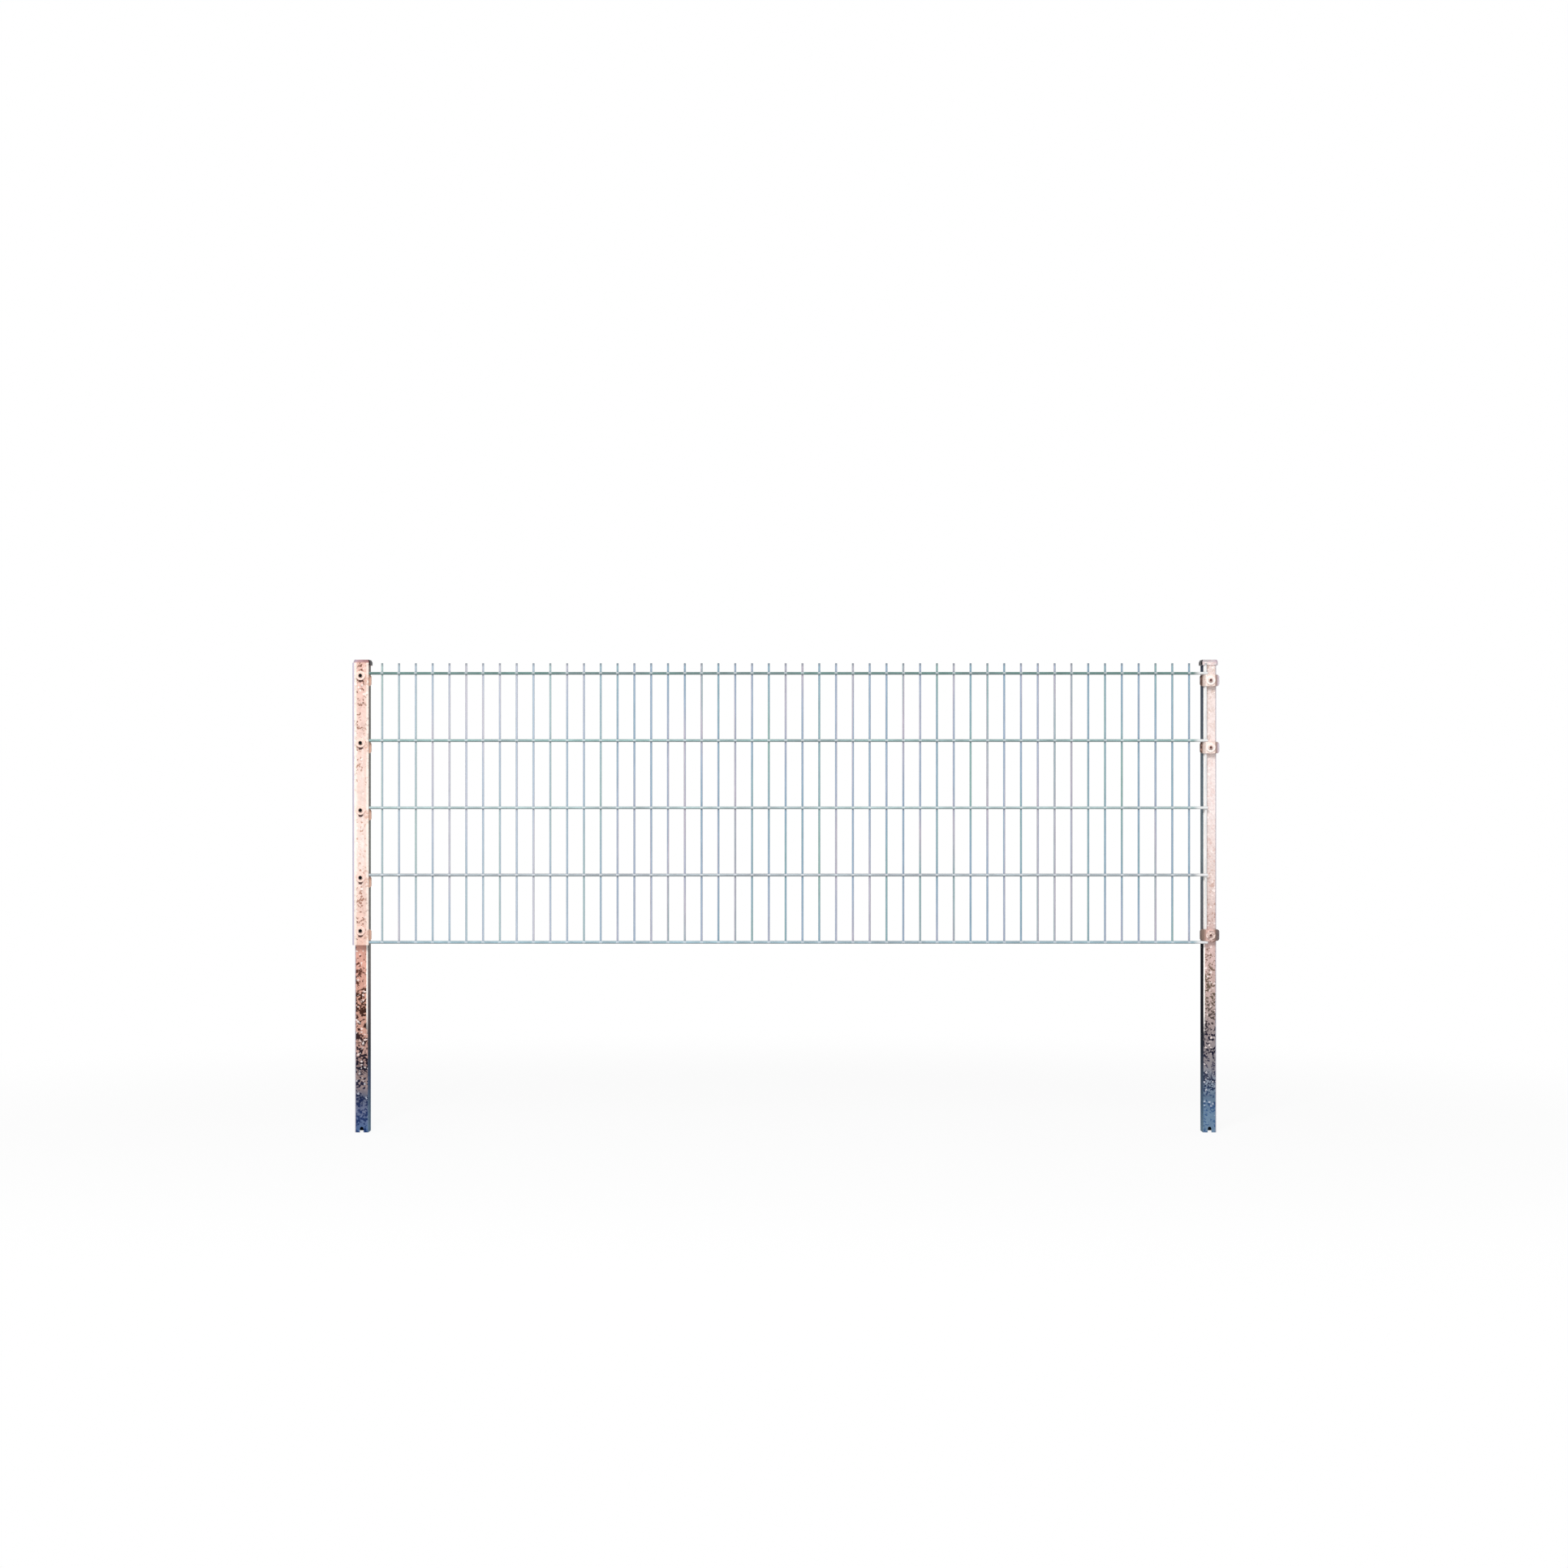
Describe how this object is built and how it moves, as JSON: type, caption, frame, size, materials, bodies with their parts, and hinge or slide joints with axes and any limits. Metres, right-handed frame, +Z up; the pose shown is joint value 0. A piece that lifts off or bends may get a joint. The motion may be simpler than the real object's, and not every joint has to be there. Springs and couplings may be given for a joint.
{
  "type": "double wire mesh fence panel",
  "caption": "Low galvanised double wire mesh fence panel between two capped box-section posts, held by a bolted cover bar on one post and bolted wire clamps on the other.",
  "frame": {"origin": "midway between the two posts, on the centre line of their section, at the level of their feet", "axes": "+X from the post with the cover bar to the post with the clamps, +Y from the bolted front to the back, +Z up along the posts"},
  "size_m": [2.579, 0.0986, 1.408],
  "materials": {
    "post_zinc": "hot-dip galvanised",
    "bar_zinc": "hot-dip galvanised",
    "cap_metal": "satin",
    "rod_zinc": "hot-dip galvanised",
    "upright_zinc": "hot-dip galvanised",
    "cast_zinc": "as cast",
    "bolt_steel": "satin",
    "nut_steel": "zinc plated"
  },
  "bodies": {
    "root": {"bar_bolts": "bolt_steel", "bar_rivet_nuts": "nut_steel", "bar_washers": "bolt_steel", "clamp_bolts": "bolt_steel", "clamp_rivet_nuts": "nut_steel", "clamp_washers": "bolt_steel", "cover_bar": "bar_zinc", "front_wire_1": "rod_zinc", "front_wire_2": "rod_zinc", "front_wire_3": "rod_zinc", "front_wire_4": "rod_zinc", "front_wire_5": "rod_zinc", "infill_wires_1": "upright_zinc", "infill_wires_2": "upright_zinc", "infill_wires_3": "upright_zinc", "infill_wires_4": "upright_zinc", "infill_wires_5": "upright_zinc", "infill_wires_6": "upright_zinc", "infill_wires_7": "upright_zinc", "left_edge_wire": "upright_zinc", "left_post": "post_zinc", "left_post_cap": "cap_metal", "rear_wire_1": "rod_zinc", "rear_wire_2": "rod_zinc", "rear_wire_3": "rod_zinc", "rear_wire_4": "rod_zinc", "rear_wire_5": "rod_zinc", "right_edge_wire": "upright_zinc", "right_post": "post_zinc", "right_post_cap": "cap_metal", "wire_clamp_1": "cast_zinc", "wire_clamp_2": "cast_zinc", "wire_clamp_3": "cast_zinc", "wire_saddle_1": "cast_zinc", "wire_saddle_2": "cast_zinc", "wire_saddle_3": "cast_zinc", "wire_saddle_4": "cast_zinc", "wire_saddle_5": "cast_zinc"}
  },
  "joints": []
}
